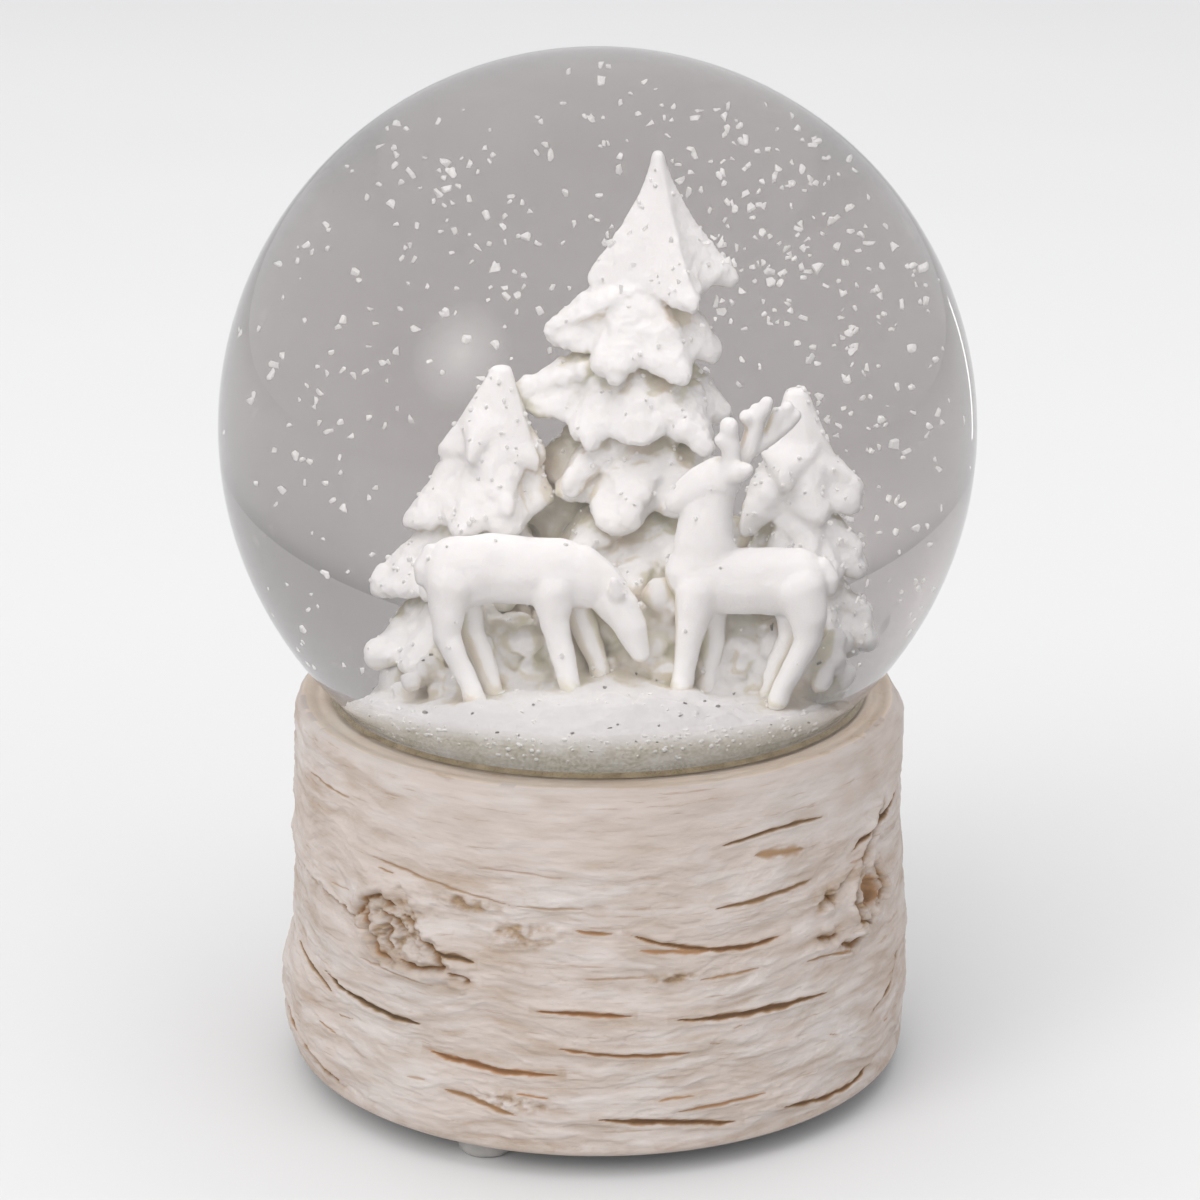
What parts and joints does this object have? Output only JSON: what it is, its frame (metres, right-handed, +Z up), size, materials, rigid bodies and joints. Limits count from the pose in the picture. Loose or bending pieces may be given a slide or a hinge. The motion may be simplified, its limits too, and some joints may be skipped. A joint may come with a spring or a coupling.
{
  "type": "snow globe",
  "caption": "Water-filled glass snow globe with a white winter forest and deer, on a round birch-bark base that hides a wind-up comb movement",
  "frame": {"origin": "on the standing surface, under the centre of the globe and base", "axes": "+Z up through the globe's axis, -Y towards the front of the forest, +X to the viewer's right"},
  "size_m": [0.1, 0.1, 0.1386],
  "materials": {
    "clear_glass": "polished",
    "white_rubber": "matte",
    "clear_liquid": "gloss",
    "white_casting": "matte",
    "white_flakes": "matte",
    "bark_resin": "matte",
    "amber_adhesive": "gloss",
    "black_plastic": "matte",
    "bright_steel": "satin",
    "clear_rubber": "satin",
    "plated_casting": "satin",
    "yellow_brass": "satin",
    "spring_steel": "satin",
    "white_acetal": "satin"
  },
  "bodies": {
    "globe_and_base": {"glass_globe": "clear_glass", "rubber_stopper": "white_rubber", "water_fill": "clear_liquid", "snow_ground": "white_casting", "tall_tree": "white_casting", "left_tree": "white_casting", "right_tree": "white_casting", "stag": "white_casting", "doe": "white_casting", "snow_flakes": "white_flakes", "bark_base": "bark_resin", "seat_adhesive": "amber_adhesive", "bottom_cover": "black_plastic", "cover_screws": "bright_steel", "front_foot": "clear_rubber", "right_foot": "clear_rubber", "rear_foot": "clear_rubber", "movement_plate": "plated_casting", "movement_screws": "bright_steel", "click_spring": "spring_steel", "cylinder_bearings": "plated_casting", "comb_bed": "plated_casting", "tune_comb": "bright_steel", "comb_screws": "bright_steel", "governor_frame": "plated_casting"},
    "key": {"winding_key": "plated_casting", "winding_shaft": "bright_steel"},
    "barrel": {"spring_barrel": "yellow_brass", "barrel_cap": "yellow_brass", "mainspring": "spring_steel"},
    "cylinder": {"cylinder_shaft": "bright_steel", "drive_pinion": "yellow_brass", "tune_cylinder": "yellow_brass", "tune_pins": "bright_steel", "cylinder_gear": "yellow_brass"},
    "governor": {"governor_arbor": "bright_steel", "governor_pinion": "yellow_brass", "worm_wheel": "white_acetal"},
    "fly": {"fly_shaft": "bright_steel", "fly_worm": "white_acetal", "fly_paddles": "white_acetal"}
  },
  "joints": [
    {"name": "key_wind", "type": "hinge", "parent": "globe_and_base", "child": "key", "pos_m": [-0.0105, 0.003, 0.01], "axis": [0, 0, 1], "continuous": true},
    {"name": "barrel_spin", "type": "hinge", "parent": "globe_and_base", "child": "barrel", "pos_m": [-0.0105, 0.003, 0.02], "axis": [0, 0, 1], "continuous": true},
    {"name": "cylinder_spin", "type": "hinge", "parent": "globe_and_base", "child": "cylinder", "pos_m": [0.0128, 0.003, 0.0224], "axis": [1, 0, 0], "continuous": true},
    {"name": "governor_spin", "type": "hinge", "parent": "globe_and_base", "child": "governor", "pos_m": [0.022, 0.01145, 0.0224], "axis": [1, 0, 0], "continuous": true},
    {"name": "fly_spin", "type": "hinge", "parent": "globe_and_base", "child": "fly", "pos_m": [0.0238, 0.017, 0.022], "axis": [0, 0, 1], "continuous": true}
  ],
  "couplings": [
    {"joint": "cylinder_spin", "follows": "barrel_spin", "ratio": 3.4286},
    {"joint": "governor_spin", "follows": "barrel_spin", "ratio": -17.143},
    {"joint": "fly_spin", "follows": "barrel_spin", "ratio": 342.86}
  ]
}
